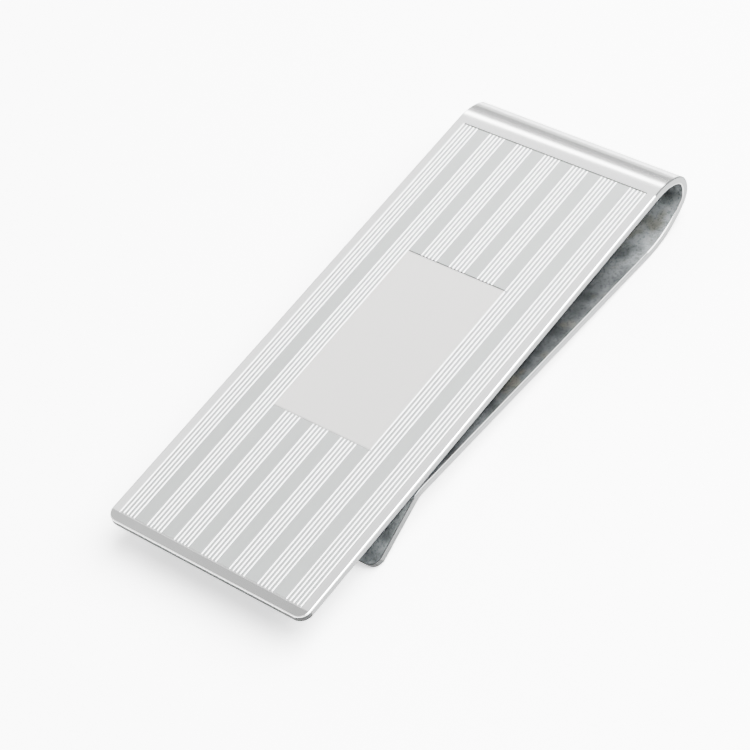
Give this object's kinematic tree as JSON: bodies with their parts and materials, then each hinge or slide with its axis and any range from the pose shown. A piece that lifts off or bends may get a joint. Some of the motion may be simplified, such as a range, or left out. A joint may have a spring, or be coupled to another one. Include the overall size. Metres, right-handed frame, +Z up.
{
  "type": "money clip",
  "caption": "Folded spring-metal money clip with an engraved striped front plate, a blank panel, a tear-shaped loop and a slim pinching arm with a lift lip.",
  "frame": {"origin": "on the table surface under the middle of the clip's bounding box, with the clip lying front plate up on its loop and lift lip", "axes": "+X across the strip, +Y along the clip towards the closed loop, +Z up, out of the engraved front"},
  "size_m": [0.0222, 0.055, 0.0057],
  "materials": {
    "polished_front": "bright polished rhodium-white plate, engraved",
    "burnished_back": "bright plate, less buffed, faintly mottled on the inner side"
  },
  "bodies": {
    "arm": {"crown_back": "polished_front", "loop_heel": "burnished_back", "spring_arm": "burnished_back", "pinch_bend": "burnished_back", "lift_lip": "burnished_back"},
    "plate": {"front_plate": "polished_front", "loop_shoulder": "polished_front", "crown_front": "polished_front"}
  },
  "joints": [
    {"name": "loop_flex", "type": "hinge", "parent": "arm", "child": "plate", "pos_m": [0, 0.02711, 0.00323], "axis": [-1, 0, 0], "range_deg": [0, 7], "stiffness_Nm_per_rad": 2}
  ]
}
